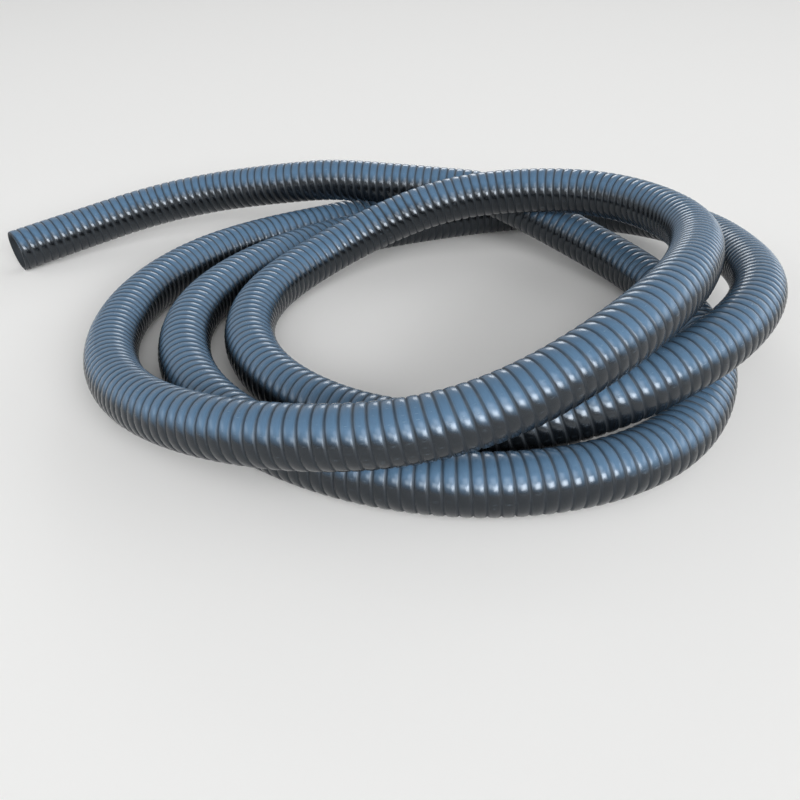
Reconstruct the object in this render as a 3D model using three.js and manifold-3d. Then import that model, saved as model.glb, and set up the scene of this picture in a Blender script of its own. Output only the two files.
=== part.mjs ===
// A ribbed vacuum hose lying in a loose pile of three turns with one free end.
// Sizes in millimetres, +Z up. The hose lies on the floor at z = 0.
import * as THREE from "three";
import Module from "manifold-3d";
import { mergeVertices } from "three/addons/utils/BufferGeometryUtils.js";

const wasm = await Module();
wasm.setup();

const HOSE_BORE = 38;
const WALL = 2; // from the bore to the bottom of a groove
const RIB_HEIGHT = 1.5; // from groove to crest
const HOSE_OD = HOSE_BORE + 2 * (WALL + RIB_HEIGHT); // over the ribs
const RIB_PITCH = 30.5; // crest to crest; one rib here stands for about three of the hose's
const SIDES = 8; // points round the hose
const LAYER_GAP = 1; // air between a strand and the one that lies on it
const FLAT_DEPTH = 1; // worn flat where the hose lies on the floor
const SEAM_GAP = 0.3; // between the free stretch and the coil
const SPAN_STEPS = 30; // measured steps from one route point to the next

// The free stretch, from its open end to where it runs under the first turn.
// Each point is x and y from the coil's middle, then its height in layers of hose.
const TAIL = [
  [-464, 143, 0],
  [-429, 170, 0.09],
  [-394, 196, 0.18],
  [-350, 219, 0.35],
  [-302, 234, 0.52],
  [-252, 239, 0.68],
  [-206, 233, 0.83],
  [-162, 223, 0.98],
  [-120, 217, 1.08],
  [-75, 210, 1.045],
  [-30, 200, 1.01],
  [15, 189, 0.975],
  [60, 178, 0.94],
];
const SEAM_POINT = 10; // the free stretch ends and the coil starts at this point

// The three turns, clockwise from above. A turn has one point for each hour of a clock
// face, from 1 o'clock: its reach from the coil's middle and its height in layers.
const HOURS = 12;
const TURNS = [
  [
    [192, 0.6],
    [198, 0.1],
    [217, 0],
    [258, 0],
    [314, 0],
    [310, 0],
    [289, 0],
    [270, 0],
    [243, 0],
    [211, 0],
    [200, 0],
    [212, 0],
  ],
  [
    [287, 0.05],
    [318, 0.32],
    [280, 0.8],
    [291, 1.3],
    [283, 0.98],
    [253, 0.05],
    [230, 0],
    [208, 0],
    [184, 0],
    [160, 0.1],
    [142, 0.55],
    [132, 1.12],
  ],
  [
    [156, 1.32],
    [206, 1.45],
    [231, 1.5],
    [228, 1.8],
    [270, 2.15],
    [311, 1],
    [333, 0.8],
    [332, 0.1],
    [312, 0],
    [283, 0],
    [240, 0],
  ],
];

// The last stretch, straight along the floor to the inner end.
const LAST = [
  [-81, 231, 0],
  [-42, 254, 0],
  [-3, 277, 0],
];

// A smooth curve drawn by its route points, as a bent hose follows the hands that lay it.
class HoseRoute extends THREE.Curve {
  constructor(points) {
    super();
    const last = points.length - 1;
    const before = points[0].clone().multiplyScalar(2).sub(points[1]);
    const after = points[last].clone().multiplyScalar(2).sub(points[last - 1]);
    this.controls = [before, ...points, after];
    this.spans = last;
    this.arcLengthDivisions = last * SPAN_STEPS;
  }

  getPoint(t, target = new THREE.Vector3()) {
    const along = Math.min(Math.max(t, 0), 1) * this.spans;
    const span = Math.min(Math.floor(along), this.spans - 1);
    const f = along - span;
    const weights = [
      (1 - f) ** 3,
      3 * f ** 3 - 6 * f ** 2 + 4,
      -3 * f ** 3 + 3 * f ** 2 + 3 * f + 1,
      f ** 3,
    ];
    target.set(0, 0, 0);
    weights.forEach((w, i) => target.addScaledVector(this.controls[span + i], w / 6));
    return target;
  }

  // The arc length from the start to one of the route points.
  lengthTo(point) {
    return this.getLengths()[point * SPAN_STEPS];
  }
}

function routePoint(x, y, layers) {
  return new THREE.Vector3(x, y, HOSE_OD / 2 - FLAT_DEPTH + layers * (HOSE_OD + LAYER_GAP));
}

function turnPoint([reach, layers], index) {
  const bearing = Math.PI / 2 - ((index + 1) * 2 * Math.PI) / HOURS;
  return routePoint(reach * Math.cos(bearing), reach * Math.sin(bearing), layers);
}

function wholeRoute() {
  const points = [
    ...TAIL.map((point) => routePoint(...point)),
    ...TURNS.flatMap((turn) => turn.map(turnPoint)),
    ...LAST.map((point) => routePoint(...point)),
  ];
  return new HoseRoute(points);
}

// The points of one ring round the hose, the first at its top and one straight below.
function ringPoints(route, distance, radius) {
  const u = distance / route.getLength();
  const centre = route.getPointAt(u);
  const along = route.getTangentAt(u);
  const side = new THREE.Vector3(0, 0, 1).cross(along).normalize();
  const top = along.clone().cross(side);
  const points = [];
  for (let i = 0; i < SIDES; i++) {
    const angle = (i * 2 * Math.PI) / SIDES;
    const point = centre.clone();
    point.addScaledVector(top, radius * Math.cos(angle));
    point.addScaledVector(side, radius * Math.sin(angle));
    points.push(point);
  }
  return points;
}

// Joins two rings, given by their first vertices, with a band of triangles.
function band(indices, a, b) {
  for (let i = 0; i < SIDES; i++) {
    const j = (i + 1) % SIDES;
    indices.push(a + i, b + i, b + j, a + i, b + j, a + j);
  }
}

// A length of ribbed hose: crests and grooves outside, a smooth bore, two square-cut ends.
function ribbedHose(route, from, to) {
  const ribs = Math.round((to - from) / RIB_PITCH);
  const step = (to - from) / ribs;
  const points = [];
  const indices = [];
  const addRing = (distance, radius) => {
    points.push(...ringPoints(route, distance, radius));
    return points.length - SIDES;
  };

  const outside = [];
  const inside = [];
  for (let i = 0; i <= ribs; i++) {
    const crest = from + i * step;
    outside.push(addRing(crest, HOSE_OD / 2));
    inside.push(addRing(crest, HOSE_BORE / 2));
    if (i < ribs) outside.push(addRing(crest + step / 2, HOSE_OD / 2 - RIB_HEIGHT));
  }
  for (let i = 1; i < outside.length; i++) band(indices, outside[i - 1], outside[i]);
  for (let i = 1; i < inside.length; i++) band(indices, inside[i], inside[i - 1]);
  band(indices, inside[0], outside[0]);
  band(indices, outside[outside.length - 1], inside[inside.length - 1]);

  const geometry = new THREE.BufferGeometry().setFromPoints(points);
  geometry.setIndex(indices);
  return geometry;
}

function solidOf(geometry) {
  return new wasm.Manifold(
    new wasm.Mesh({
      numProp: 3,
      vertProperties: new Float32Array(geometry.getAttribute("position").array),
      triVerts: new Uint32Array(geometry.getIndex().array),
    }),
  );
}

function geometryOf(solid) {
  const mesh = solid.getMesh();
  const geometry = new THREE.BufferGeometry();
  geometry.setAttribute("position", new THREE.BufferAttribute(mesh.vertProperties, 3));
  geometry.setIndex(new THREE.BufferAttribute(mesh.triVerts, 1));
  geometry.computeVertexNormals();
  return geometry;
}

// Everything below the floor is cut away, which leaves a flat under each rib on it.
function cutAtFloor(geometry) {
  geometry.computeBoundingBox();
  const size = geometry.boundingBox.getSize(new THREE.Vector3());
  const middle = geometry.boundingBox.getCenter(new THREE.Vector3());
  const slab = new THREE.BoxGeometry(size.x + HOSE_OD, size.y + HOSE_OD, HOSE_OD);
  slab.deleteAttribute("normal");
  slab.deleteAttribute("uv");
  slab.translate(middle.x, middle.y, -HOSE_OD / 2);
  return geometryOf(solidOf(geometry).subtract(solidOf(mergeVertices(slab))));
}

// The least distance between the outsides of two strands of the pile, more than three
// diameters apart along the hose.
function leastGap(route) {
  const steps = Math.ceil(route.getLength() / (HOSE_OD / 8));
  const near = Math.ceil((3 * HOSE_OD * steps) / route.getLength());
  const points = route.getSpacedPoints(steps);
  let least = Infinity;
  for (let i = 0; i < points.length; i++) {
    for (let j = i + near; j < points.length; j++) {
      least = Math.min(least, points[i].distanceTo(points[j]));
    }
  }
  return least - HOSE_OD;
}

function hosePiece(name, route, from, to) {
  const material = new THREE.MeshStandardMaterial({
    color: 0x3d4f63,
    roughness: 0.3,
    metalness: 0,
  });
  const mesh = new THREE.Mesh(cutAtFloor(ribbedHose(route, from, to)), material);
  mesh.name = name;
  return mesh;
}

const route = wholeRoute();
const seam = route.lengthTo(SEAM_POINT);
console.log(`hose length ${Math.round(route.getLength())} mm`);
console.log(`least gap between turns ${leastGap(route).toFixed(2)} mm`);

const pile = new THREE.Group();
pile.add(
  hosePiece("hose_tail", route, 0, seam - SEAM_GAP / 2),
  hosePiece("hose_coil", route, seam + SEAM_GAP / 2, route.getLength()),
);

// The part's frame: on the floor, under the middle of the whole pile.
const middle = new THREE.Box3().setFromObject(pile, true).getCenter(new THREE.Vector3());
pile.position.set(-middle.x, -middle.y, 0);

export default pile;
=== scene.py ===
# A ribbed vacuum hose lying in a loose pile of three turns with one free end, on a pale floor.
# Metres, +Z up. The origin is on the floor, under the middle of the pile.
import math

import bmesh
import bpy
import numpy as np
from mathutils import Matrix, Vector


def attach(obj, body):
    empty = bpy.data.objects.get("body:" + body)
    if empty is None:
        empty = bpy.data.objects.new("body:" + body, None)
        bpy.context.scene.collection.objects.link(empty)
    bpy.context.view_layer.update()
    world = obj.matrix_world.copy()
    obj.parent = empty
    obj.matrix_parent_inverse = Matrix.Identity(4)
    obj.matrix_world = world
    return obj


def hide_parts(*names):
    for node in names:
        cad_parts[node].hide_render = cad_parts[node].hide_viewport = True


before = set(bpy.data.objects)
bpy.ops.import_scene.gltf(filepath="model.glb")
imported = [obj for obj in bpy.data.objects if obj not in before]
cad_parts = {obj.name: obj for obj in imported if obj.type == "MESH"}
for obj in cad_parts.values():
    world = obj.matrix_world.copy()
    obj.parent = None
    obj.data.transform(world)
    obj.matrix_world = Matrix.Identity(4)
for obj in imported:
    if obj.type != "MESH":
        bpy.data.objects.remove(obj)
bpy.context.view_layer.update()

MM = 0.001


def linear(hex_colour):
    """An sRGB hex colour as the linear RGBA that a shader socket takes."""
    channels = [int(hex_colour[i : i + 2], 16) / 255 for i in (1, 3, 5)]
    return [
        c / 12.92 if c <= 0.04045 else ((c + 0.055) / 1.055) ** 2.4 for c in channels
    ] + [1]


# ---- The camera: the photograph's viewing angle ----

PHOTO_WIDTH = 800  # pixels
FOCAL_LENGTH = 861  # pixels of the photograph
SENSOR_WIDTH = 36  # millimetres
EYE = Vector((44.63 * MM, -742.98 * MM, 378 * MM))
LOOKS_DOWN = 32  # degrees below the horizon
LEAN = 1.26  # degrees that the photograph's content is turned counter-clockwise


def add_camera():
    data = bpy.data.cameras.new("camera")
    data.sensor_width = SENSOR_WIDTH
    data.lens = FOCAL_LENGTH / PHOTO_WIDTH * SENSOR_WIDTH
    data.clip_start = 10 * MM
    camera = bpy.data.objects.new("camera", data)
    camera.matrix_world = (
        Matrix.Translation(EYE)
        @ Matrix.Rotation(math.radians(90 - LOOKS_DOWN), 4, "X")
        @ Matrix.Rotation(math.radians(-LEAN), 4, "Z")
    )
    bpy.context.collection.objects.link(camera)
    bpy.context.scene.camera = camera


add_camera()

# ---- The hose: sizes and route ----

HOSE_BORE = 38 * MM
WALL = 2 * MM  # from the bore to the bottom of a groove
RIB_HEIGHT = 1.5 * MM  # from groove to crest
HOSE_OD = HOSE_BORE + 2 * (WALL + RIB_HEIGHT)  # over the ribs
RIB_PITCH = 8.8 * MM  # the strip is wound this far along with each turn round the hose
LAYER_GAP = 1 * MM  # air between a strand and the one that lies on it
FLAT_DEPTH = 1 * MM  # pressed flat where the hose lies on the floor
COIL_MIDDLE = (89.63 * MM, 12.02 * MM)  # the free end puts it right of the pile's middle

# The route that the solid model follows. Each point of the free stretch is x and y in
# millimetres from the coil's middle, then its height in layers of hose.
FREE_STRETCH = [
    (-464, 143, 0),
    (-429, 170, 0.09),
    (-394, 196, 0.18),
    (-350, 219, 0.35),
    (-302, 234, 0.52),
    (-252, 239, 0.68),
    (-206, 233, 0.83),
    (-162, 223, 0.98),
    (-120, 217, 1.08),
    (-75, 210, 1.045),
    (-30, 200, 1.01),
    (15, 189, 0.975),
    (60, 178, 0.94),
]
# The three turns, clockwise from above. A turn has one point for each hour of a clock
# face, from 1 o'clock: its reach from the coil's middle and its height in layers.
HOURS = 12
TURNS = [
    [
        (192, 0.6),
        (198, 0.1),
        (217, 0),
        (258, 0),
        (314, 0),
        (310, 0),
        (289, 0),
        (270, 0),
        (243, 0),
        (211, 0),
        (200, 0),
        (212, 0),
    ],
    [
        (287, 0.05),
        (318, 0.32),
        (280, 0.8),
        (291, 1.3),
        (283, 0.98),
        (253, 0.05),
        (230, 0),
        (208, 0),
        (184, 0),
        (160, 0.1),
        (142, 0.55),
        (132, 1.12),
    ],
    [
        (156, 1.32),
        (206, 1.45),
        (231, 1.5),
        (228, 1.8),
        (270, 2.15),
        (311, 1),
        (333, 0.8),
        (332, 0.1),
        (312, 0),
        (283, 0),
        (240, 0),
    ],
]
LAST_STRETCH = [
    (-81, 231, 0),
    (-42, 254, 0),
    (-3, 277, 0),
]

SPAN_STEPS = 100  # measured steps from one route point to the next


def route_points():
    """The route in metres, from the free end to the inner end."""
    points = list(FREE_STRETCH)
    for turn in TURNS:
        for index, (reach, layers) in enumerate(turn):
            bearing = math.pi / 2 - (index + 1) * 2 * math.pi / HOURS
            points.append(
                (reach * math.cos(bearing), reach * math.sin(bearing), layers)
            )
    points = np.array(points + LAST_STRETCH)
    points[:, :2] = points[:, :2] * MM + COIL_MIDDLE
    points[:, 2] = HOSE_OD / 2 - FLAT_DEPTH + points[:, 2] * (HOSE_OD + LAYER_GAP)
    return points


class HoseLine:
    """The smooth curve that the route points draw, as a bent hose follows the hands that
    lay it, measured along its length."""

    def __init__(self, points):
        before, after = 2 * points[0] - points[1], 2 * points[-1] - points[-2]
        self.controls = np.vstack([before, points, after])
        self.spans = len(points) - 1
        self.times = np.linspace(0, self.spans, self.spans * SPAN_STEPS + 1)
        steps = np.diff(self.at(self.times)[0], axis=0)
        self.lengths = np.append(0, np.cumsum(np.linalg.norm(steps, axis=1)))
        self.length = self.lengths[-1]

    def at(self, time):
        """Places and directions at these times; a route point is passed each 1."""
        span = np.clip(np.floor(time).astype(int), 0, self.spans - 1)
        f = time - span
        pull = [
            (1 - f) ** 3 / 6,
            (3 * f**3 - 6 * f**2 + 4) / 6,
            (-3 * f**3 + 3 * f**2 + 3 * f + 1) / 6,
            f**3 / 6,
        ]
        slope = [
            -((1 - f) ** 2) / 2,
            (3 * f**2 - 4 * f) / 2,
            (-3 * f**2 + 2 * f + 1) / 2,
            f**2 / 2,
        ]
        places = sum(w[..., None] * self.controls[span + i] for i, w in enumerate(pull))
        along = sum(w[..., None] * self.controls[span + i] for i, w in enumerate(slope))
        return places, along / np.linalg.norm(along, axis=-1, keepdims=True)

    def around(self, distance, angle, radius):
        """The points at these distances along, angles from the top and radii."""
        centre, along = self.at(np.interp(distance, self.lengths, self.times))
        side = np.cross(along, (0, 0, 1))
        side /= np.linalg.norm(side, axis=-1, keepdims=True)
        top = np.cross(side, along)
        points = centre + radius[..., None] * (
            top * np.cos(angle)[..., None] + side * np.sin(angle)[..., None]
        )
        points[..., 2] = np.maximum(points[..., 2], 0)  # it lies on the floor
        return points


# ---- The hose: strip and bore ----

SIDES = 26  # points round the hose
BORE_STEP = 18 * MM  # from one ring of the bore to the next
WELD_DISTANCE = 0.001 * MM  # points nearer than this are one
IN_BORE = -1.0  # what the bore has in place of a height on a rib

# The wound strip's section, once per pitch: how far along the pitch, and how far up from
# the bottom of the groove to the crest. A broad, slightly crowned rib and a narrow groove.
RIB_SECTION = [
    (0.00, 0.05),
    (0.08, 0.55),
    (0.20, 0.87),
    (0.50, 1.00),
    (0.80, 0.87),
    (0.92, 0.55),
]
SPARE_WINDS = 3  # one before the hose and two past its end


def wound_strip(line):
    """Rows of points round the outside: how far along the hose each point is, and how high
    up on its rib. A row runs once round the hose and one pitch along it. What is past an
    end is drawn back onto the cut."""
    winds = math.ceil(line.length / RIB_PITCH) + SPARE_WINDS
    section_along, section_up = np.array(RIB_SECTION).T
    rows = (np.arange(winds)[:, None] + section_along - 1).ravel() * RIB_PITCH
    advance = RIB_PITCH * np.arange(SIDES) / SIDES
    distance = np.clip(rows[:, None] + advance, 0, line.length)
    phase = ((distance - advance) / RIB_PITCH) % 1
    section_along = np.append(section_along, 1)
    section_up = np.append(section_up, section_up[0])
    return distance, np.interp(phase, section_along, section_up)


def smooth_bore(line):
    """Rings of points round the bore: how far along the hose each point is."""
    rings = np.linspace(0, line.length, math.ceil(line.length / BORE_STEP) + 1)
    return np.broadcast_to(rings[:, None], (len(rings), SIDES))


def hose_faces(outside, bore):
    """The faces, each as four points, between the rows and rings that these points form."""
    per_pitch = len(RIB_SECTION)
    outside_next = np.roll(outside, -1, axis=1)
    bore_next = np.roll(bore, -1, axis=1)
    bands = [
        # the strip, from one row to the next, up to the last point round
        (outside[:-1, 1:], outside[1:, 1:], outside[1:, :-1], outside[:-1, :-1]),
        # the strip, from the last point of a row to the first of the row a pitch on
        (
            outside[per_pitch:-1, 0],
            outside[per_pitch + 1 :, 0],
            outside[1:-per_pitch, -1],
            outside[: -per_pitch - 1, -1],
        ),
        # the bore, then the cut at each end
        (bore_next[1:], bore_next[:-1], bore[:-1], bore[1:]),
        (bore_next[0], outside_next[0], outside[0], bore[0]),
        (outside_next[-1], bore_next[-1], bore[-1], outside[-1]),
    ]
    return np.vstack([np.stack(band, -1).reshape(-1, 4) for band in bands])


def weld(mesh):
    """Makes one point of those that were drawn back to the same place on a cut."""
    shell = bmesh.new()
    shell.from_mesh(mesh)
    bmesh.ops.remove_doubles(shell, verts=shell.verts, dist=WELD_DISTANCE)
    shell.to_mesh(mesh)
    shell.free()


def hose_mesh(line):
    """A hose of one strip wound in a screw, with a smooth bore and both ends cut square."""
    strip_distance, height = wound_strip(line)
    bore_distance = smooth_bore(line)
    distance = np.vstack([strip_distance, bore_distance])
    angle = np.broadcast_to(np.arange(SIDES) * 2 * math.pi / SIDES, distance.shape)
    radius = np.vstack(
        [
            HOSE_OD / 2 - RIB_HEIGHT * (1 - height),
            np.full(bore_distance.shape, HOSE_BORE / 2),
        ]
    )
    points = line.around(distance, angle, radius)
    numbers = np.arange(distance.size).reshape(distance.shape)
    outside, bore = np.split(numbers, [len(height)])
    mesh = bpy.data.meshes.new("hose")
    mesh.from_pydata(points.reshape(-1, 3).tolist(), [], hose_faces(outside, bore).tolist())

    # For the finish: how high on its rib each point is, and its place on the same hose
    # pulled straight.
    rib = mesh.attributes.new("rib", "FLOAT", "POINT")
    rib_height = np.vstack([height, np.full(bore.shape, IN_BORE)])
    rib.data.foreach_set("value", rib_height.ravel())
    straight = mesh.attributes.new("straight", "FLOAT_VECTOR", "POINT")
    up, across = np.cos(angle) * HOSE_OD / 2, np.sin(angle) * HOSE_OD / 2
    straight.data.foreach_set("vector", np.stack([up, across, distance], -1).ravel())

    weld(mesh)
    mesh.shade_smooth()
    return mesh


def lay_hose():
    line = HoseLine(route_points())
    hose = bpy.data.objects.new("hose", hose_mesh(line))
    bpy.context.collection.objects.link(hose)
    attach(hose, "root")
    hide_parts("hose_tail", "hose_coil")
    return hose


hose = lay_hose()

# ---- The hose's finish ----

# Painted light: the skin is near-black charcoal below as painted shade and steel blue on top
# as a painted sky reflection.
SHADE_CHARCOAL = linear("#0b0d0f")  # painted shade: the skin on the underside, and the bore
SKY_REFLECTION_BLUE = linear("#53708b")  # painted sky reflection on what faces up
SCUFF_GREY = linear("#8497a6")
# painted shade in the grooves and the bore
GROOVE_SHADE_BLACK = linear("#0e1419")
DUST_GREY = linear("#77736a")

# Patches in which the painted sky reflection and the roughness vary
PATCH_SIZE = 90 * MM  # about a hand across
DRAG_MARK_SPACING = 2 * MM  # each mark is half of it
DUST_SPECK = 14 * MM  # coarser than real dust, so that it shows
SKIN_RIPPLE = 7 * MM
DIE_LINE_SPACING = 1.5 * MM

# A colour Mix node's sockets, by number because its other sockets share their names.
SHARE, FIRST_COLOUR, SECOND_COLOUR, MIXED_COLOUR = 0, 6, 7, 2


def add_node(tree, kind, inputs, **settings):
    """Adds a node with its settings, and sets each named input or links it."""
    node = tree.nodes.new(kind)
    for name, value in settings.items():
        setattr(node, name, value)
    for name, value in inputs.items():
        if isinstance(value, bpy.types.NodeSocket):
            tree.links.new(value, node.inputs[name])
        else:
            node.inputs[name].default_value = value
    return node


def new_finish(name):
    material = bpy.data.materials.new(name)
    material.use_nodes = True
    material.node_tree.nodes.clear()
    return material, material.node_tree


def painted_sky_and_shade(tree, patches, facing_up, outside):
    """Painted light: steel blue as a painted sky reflection on what faces the sky, more in
    some patches, and near-black charcoal as painted shade below; charcoal in the bore too."""
    skyward = add_node(
        tree,
        "ShaderNodeMath",
        {0: patches, 1: 0.4, 2: facing_up},
        operation="MULTIPLY_ADD",
    )
    sky_share = add_node(
        tree,
        "ShaderNodeMapRange",
        {"Value": skyward.outputs["Value"], "From Min": 0.45, "From Max": 0.92},
        interpolation_type="SMOOTHSTEP",
    )
    sky_share_outside = add_node(
        tree,
        "ShaderNodeMath",
        {0: sky_share.outputs["Result"], 1: outside},
        operation="MULTIPLY",
    )
    skin = add_node(
        tree,
        "ShaderNodeMix",
        {
            SHARE: sky_share_outside.outputs["Value"],
            FIRST_COLOUR: SHADE_CHARCOAL,
            SECOND_COLOUR: SKY_REFLECTION_BLUE,
        },
        data_type="RGBA",
    )
    return skin.outputs[MIXED_COLOUR]


def drag_marks(tree, place, rib):
    """How far the skin is scuffed: marks 1 mm wide and some 15 mm long along the hose, on
    the crests only."""
    along = add_node(tree, "ShaderNodeMapping", {"Vector": place, "Scale": (1, 1, 0.07)})
    drags = add_node(
        tree,
        "ShaderNodeTexNoise",
        {
            "Vector": along.outputs["Vector"],
            "Scale": 1 / DRAG_MARK_SPACING,
            "Detail": 3,
        },
    )
    dragged = add_node(
        tree,
        "ShaderNodeMapRange",
        {"Value": drags.outputs["Fac"], "From Min": 0.58, "From Max": 0.7},
    )
    crest = add_node(
        tree, "ShaderNodeMapRange", {"Value": rib, "From Min": 0.88, "From Max": 1}
    )
    scuffs = add_node(
        tree,
        "ShaderNodeMath",
        {0: dragged.outputs["Result"], 1: crest.outputs["Result"]},
        operation="MULTIPLY",
    )
    return scuffs.outputs["Value"]


def scuffed_skin(tree, skin, scuffs):
    """A little paler where it is scuffed."""
    paler = add_node(tree, "ShaderNodeMath", {0: scuffs, 1: 0.1}, operation="MULTIPLY")
    scuffed = add_node(
        tree,
        "ShaderNodeMix",
        {
            SHARE: paler.outputs["Value"],
            FIRST_COLOUR: skin,
            SECOND_COLOUR: SCUFF_GREY,
        },
        data_type="RGBA",
    )
    return scuffed.outputs[MIXED_COLOUR]


def painted_groove_shade(tree, skin, groove):
    """Painted shade: darker the deeper in the groove, and in the bore."""
    depth = add_node(tree, "ShaderNodeMath", {0: groove, 1: 0.75}, operation="MULTIPLY")
    shaded = add_node(
        tree,
        "ShaderNodeMix",
        {
            SHARE: depth.outputs["Value"],
            FIRST_COLOUR: skin,
            SECOND_COLOUR: GROOVE_SHADE_BLACK,
        },
        data_type="RGBA",
    )
    return shaded.outputs[MIXED_COLOUR]


def dusted(tree, skin, place, facing_up, groove, outside):
    """Specks of dust in the grooves where they face up, and none in the bore."""
    up = add_node(
        tree, "ShaderNodeMapRange", {"Value": facing_up, "From Min": 0.4, "From Max": 1}
    )
    specks = add_node(
        tree,
        "ShaderNodeTexNoise",
        {"Vector": place, "Scale": 1 / DUST_SPECK, "Detail": 6},
    )
    speckled = add_node(
        tree,
        "ShaderNodeMapRange",
        {
            "Value": specks.outputs["Fac"],
            "From Min": 0.45,
            "From Max": 0.75,
            "To Max": 0.3,
        },
    )
    settled = add_node(
        tree,
        "ShaderNodeMath",
        {0: up.outputs["Result"], 1: speckled.outputs["Result"]},
        operation="MULTIPLY",
    )
    kept = add_node(
        tree, "ShaderNodeMath", {0: groove, 1: outside}, operation="MULTIPLY"
    )
    dust = add_node(
        tree,
        "ShaderNodeMath",
        {0: settled.outputs["Value"], 1: kept.outputs["Value"]},
        operation="MULTIPLY",
    )
    dusty = add_node(
        tree,
        "ShaderNodeMix",
        {
            SHARE: dust.outputs["Value"],
            FIRST_COLOUR: skin,
            SECOND_COLOUR: DUST_GREY,
        },
        data_type="RGBA",
    )
    return dusty.outputs[MIXED_COLOUR]


def wet_gloss(tree, patches, scuffs, groove):
    """The skin's roughness: a little more in some patches, more in the scuffs and most in
    the groove."""
    sheen = add_node(
        tree,
        "ShaderNodeMapRange",
        {
            "Value": patches,
            "From Min": 0.3,
            "From Max": 0.7,
            "To Min": 0.15,
            "To Max": 0.24,
        },
    )
    worn = add_node(
        tree,
        "ShaderNodeMath",
        {0: scuffs, 1: 0.12, 2: sheen.outputs["Result"]},
        operation="MULTIPLY_ADD",
    )
    roughness = add_node(
        tree,
        "ShaderNodeMath",
        {0: groove, 1: 0.45, 2: worn.outputs["Value"]},
        operation="MULTIPLY_ADD",
    )
    return roughness.outputs["Value"]


def skin_relief(tree, place):
    """The skin's shallow ripples, with die lines some 20 mm long round the hose."""
    ripples = add_node(
        tree,
        "ShaderNodeTexNoise",
        {"Vector": place, "Scale": 1 / SKIN_RIPPLE, "Detail": 1},
    )
    around = add_node(
        tree, "ShaderNodeMapping", {"Vector": place, "Scale": (0.08, 0.08, 1)}
    )
    lines = add_node(
        tree,
        "ShaderNodeTexNoise",
        {
            "Vector": around.outputs["Vector"],
            "Scale": 1 / DIE_LINE_SPACING,
            "Detail": 2,
        },
    )
    relief = add_node(
        tree,
        "ShaderNodeMath",
        {0: lines.outputs["Fac"], 1: 0.25, 2: ripples.outputs["Fac"]},
        operation="MULTIPLY_ADD",
    )
    bump = add_node(
        tree,
        "ShaderNodeBump",
        {"Height": relief.outputs["Value"], "Strength": 0.5, "Distance": 0.2 * MM},
    )
    return bump.outputs["Normal"]


def wound_pvc():
    """Plasticised PVC, its strip extruded and wound while soft. The skin has a wet gloss,
    a little uneven from the winding, with faint lines round the hose from the die. What
    faces up is steel blue as a painted sky reflection, and the underside is near-black
    charcoal as painted shade. The grooves are painted darker as shade and keep fine dust,
    and the crests are scuffed where they drag."""
    material, tree = new_finish("wound_plasticised_pvc")
    rib = add_node(tree, "ShaderNodeAttribute", {}, attribute_name="rib").outputs["Fac"]
    place = add_node(
        tree, "ShaderNodeAttribute", {}, attribute_name="straight"
    ).outputs["Vector"]
    normal = add_node(tree, "ShaderNodeNewGeometry", {}).outputs["Normal"]
    facing_up = add_node(tree, "ShaderNodeSeparateXYZ", {"Vector": normal}).outputs["Z"]
    outside = add_node(
        tree, "ShaderNodeMapRange", {"Value": rib, "From Min": -0.1, "From Max": 0}
    ).outputs["Result"]
    groove = add_node(
        tree, "ShaderNodeMapRange", {"Value": rib, "From Min": 0.92, "From Max": 0.4}
    ).outputs["Result"]
    patches = add_node(
        tree,
        "ShaderNodeTexNoise",
        {"Vector": place, "Scale": 1 / PATCH_SIZE, "Detail": 3},
    ).outputs["Fac"]

    scuffs = drag_marks(tree, place, rib)
    skin = painted_sky_and_shade(tree, patches, facing_up, outside)
    skin = scuffed_skin(tree, skin, scuffs)
    skin = painted_groove_shade(tree, skin, groove)
    skin = dusted(tree, skin, place, facing_up, groove, outside)
    shader = add_node(
        tree,
        "ShaderNodeBsdfPrincipled",
        {
            "Base Color": skin,
            "Roughness": wet_gloss(tree, patches, scuffs, groove),
            "IOR": 1.54,
            "Specular IOR Level": 0.75,
            "Specular Tint": linear("#dbe5f0"),
            "Normal": skin_relief(tree, place),
        },
    )
    add_node(tree, "ShaderNodeOutputMaterial", {"Surface": shader.outputs["BSDF"]})
    return material


hose.data.materials.append(wound_pvc())

# ---- Floor ----

FLOOR_SIZE = 6  # metres
ROLLER_STIPPLE = 6 * MM


def pale_paint():
    """Matt white emulsion rolled on a board, with the roller's faint stipple."""
    material, tree = new_finish("rolled_white_emulsion")
    place = add_node(tree, "ShaderNodeTexCoord", {}).outputs["Object"]
    stipple = add_node(
        tree,
        "ShaderNodeTexNoise",
        {"Vector": place, "Scale": 1 / ROLLER_STIPPLE, "Detail": 2},
    )
    bump = add_node(
        tree,
        "ShaderNodeBump",
        {"Height": stipple.outputs["Fac"], "Strength": 0.1, "Distance": 0.1 * MM},
    )
    shader = add_node(
        tree,
        "ShaderNodeBsdfPrincipled",
        {
            "Base Color": linear("#f5f5f4"),
            "Roughness": 0.9,
            "Specular IOR Level": 0.1,
            "Normal": bump.outputs["Normal"],
        },
    )
    add_node(tree, "ShaderNodeOutputMaterial", {"Surface": shader.outputs["BSDF"]})
    return material


def add_floor():
    bpy.ops.mesh.primitive_plane_add(size=FLOOR_SIZE)
    floor = bpy.context.object
    floor.name = "floor"
    floor.data.materials.append(pale_paint())


# ---- Light ----

WALL_LEVEL = 0.62
CEILING_LEVEL = 0.18
WALLS_UP_TO = 0.45  # the sine of the angle above the floor
CEILING_FROM = 0.95  # another such sine

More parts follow.
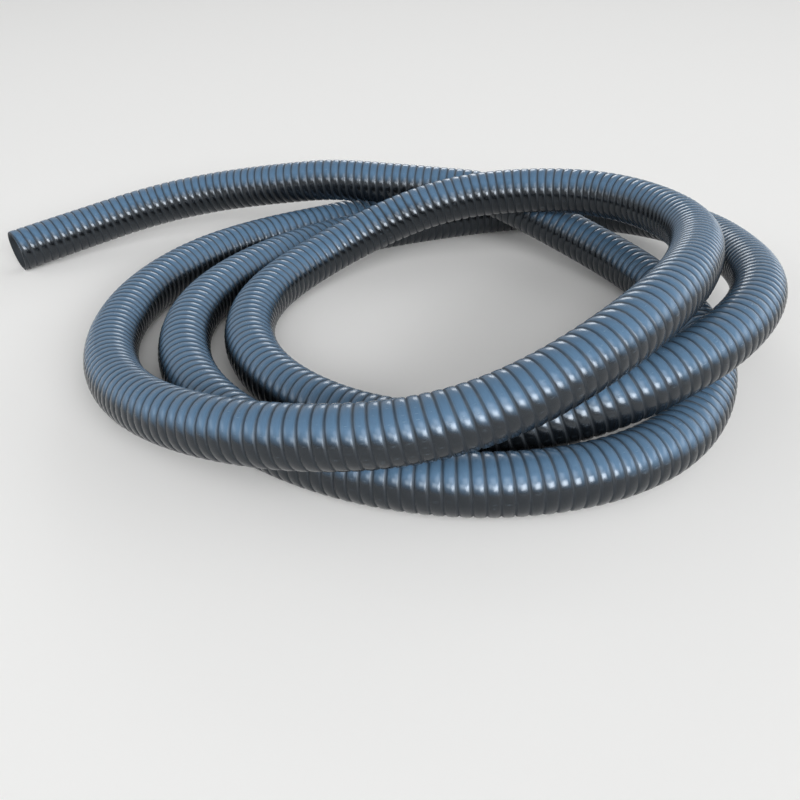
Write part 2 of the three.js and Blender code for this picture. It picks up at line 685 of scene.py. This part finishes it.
SOFTBOX_DISTANCE = 13  # metres
SOFTBOX_SPREAD = 64  # degrees; a grid keeps the light on the pile and off the far floor
SOFTBOXES = [
    # name, degrees from +X towards +Y, degrees above the floor, width, height, watts
    ("key_softbox", -65, 22, 9.2, 4.0, 184),
    ("front_softbox", -103, 26, 8.2, 3.2, 40),
    ("upper_softbox", -78, 46, 10.2, 5.6, 54),
    ("right_softbox", -5, 20, 12.0, 4.0, 36),
    ("left_softbox", -170, 25, 8.6, 3.2, 15),
    ("back_softbox", 87, 20, 4.0, 3.6, 18),
    ("corner_softbox", 39, 8, 5.4, 2.6, 9),
]


def add_softbox(name, bearing, elevation, width, height, watts):
    """A softbox that faces the middle of the pile."""
    data = bpy.data.lights.new(name, "AREA")
    data.shape = "RECTANGLE"
    data.size, data.size_y = width, height
    data.spread = math.radians(SOFTBOX_SPREAD)
    data.energy = watts
    lamp = bpy.data.objects.new(name, data)
    across, up = math.radians(bearing), math.radians(elevation)
    towards = Vector(
        (
            math.cos(across) * math.cos(up),
            math.sin(across) * math.cos(up),
            math.sin(up),
        )
    )
    lamp.location = towards * SOFTBOX_DISTANCE
    lamp.rotation_euler = towards.to_track_quat("Z", "Y").to_euler()
    lamp.visible_camera = False
    bpy.context.collection.objects.link(lamp)


def add_room():
    """A white room, palest near the floor and dimmer overhead."""
    world = bpy.data.worlds.new("studio")
    bpy.context.scene.world = world
    world.use_nodes = True
    tree = world.node_tree
    tree.nodes.clear()
    towards = add_node(tree, "ShaderNodeTexCoord", {}).outputs["Generated"]
    height = add_node(tree, "ShaderNodeSeparateXYZ", {"Vector": towards}).outputs["Z"]
    level = add_node(
        tree,
        "ShaderNodeMapRange",
        {
            "Value": height,
            "From Min": WALLS_UP_TO,
            "From Max": CEILING_FROM,
            "To Min": WALL_LEVEL,
            "To Max": CEILING_LEVEL,
        },
        interpolation_type="SMOOTHSTEP",
    )
    room = add_node(
        tree,
        "ShaderNodeBackground",
        {"Color": linear("#ffffff"), "Strength": level.outputs["Result"]},
    )
    add_node(tree, "ShaderNodeOutputWorld", {"Surface": room.outputs["Background"]})


add_floor()
add_room()
for softbox in SOFTBOXES:
    add_softbox(*softbox)
bpy.context.scene.view_settings.view_transform = "Standard"
